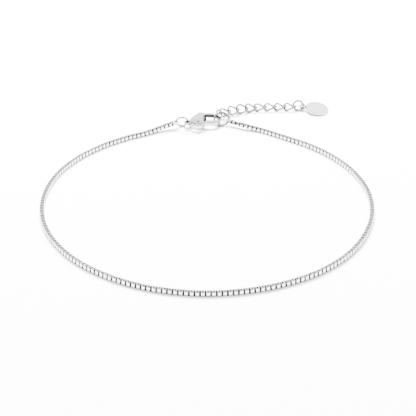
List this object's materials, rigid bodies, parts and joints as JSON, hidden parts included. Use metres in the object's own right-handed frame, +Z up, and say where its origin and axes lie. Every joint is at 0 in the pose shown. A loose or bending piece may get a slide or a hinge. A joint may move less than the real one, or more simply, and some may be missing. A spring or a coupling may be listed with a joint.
{
  "type": "anklet",
  "caption": "Fine box-chain anklet lying closed, with a lobster clasp, a short curb-link extender and a small round tag.",
  "frame": {"origin": "middle of the footprint, on the surface that the anklet lies on", "axes": "+Z up from the table, +Y from the front of the loop to the clasp, +X toward the tag"},
  "size_m": [0.0737, 0.0852, 0.0033],
  "materials": {
    "polished_silver": "polished",
    "satin_silver": "fine satin",
    "pin_steel": "bright"
  },
  "bodies": {
    "anklet": {"box_chain": "polished_silver", "chain_end_link_left": "polished_silver", "chain_end_link_right": "polished_silver", "jump_ring_left": "polished_silver", "clasp_body": "polished_silver", "clasp_pin": "pin_steel", "closing_ring": "polished_silver", "extender_link_1": "polished_silver", "extender_link_2": "polished_silver", "extender_link_3": "polished_silver", "extender_link_4": "polished_silver", "extender_link_5": "polished_silver", "extender_link_6": "polished_silver", "extender_link_7": "polished_silver", "extender_link_8": "polished_silver", "extender_link_9": "polished_silver", "tag_ring": "polished_silver", "tag": "satin_silver"},
    "clasp_lever": {"clasp_lever": "polished_silver"}
  },
  "joints": [
    {"name": "lever_hinge", "type": "hinge", "parent": "anklet", "child": "clasp_lever", "pos_m": [-0.0022, 0.03077, 0.0012], "axis": [0, 0, 1], "range_deg": [0, 20], "stiffness_Nm_per_rad": 0.004, "springref_deg": -22.92}
  ]
}
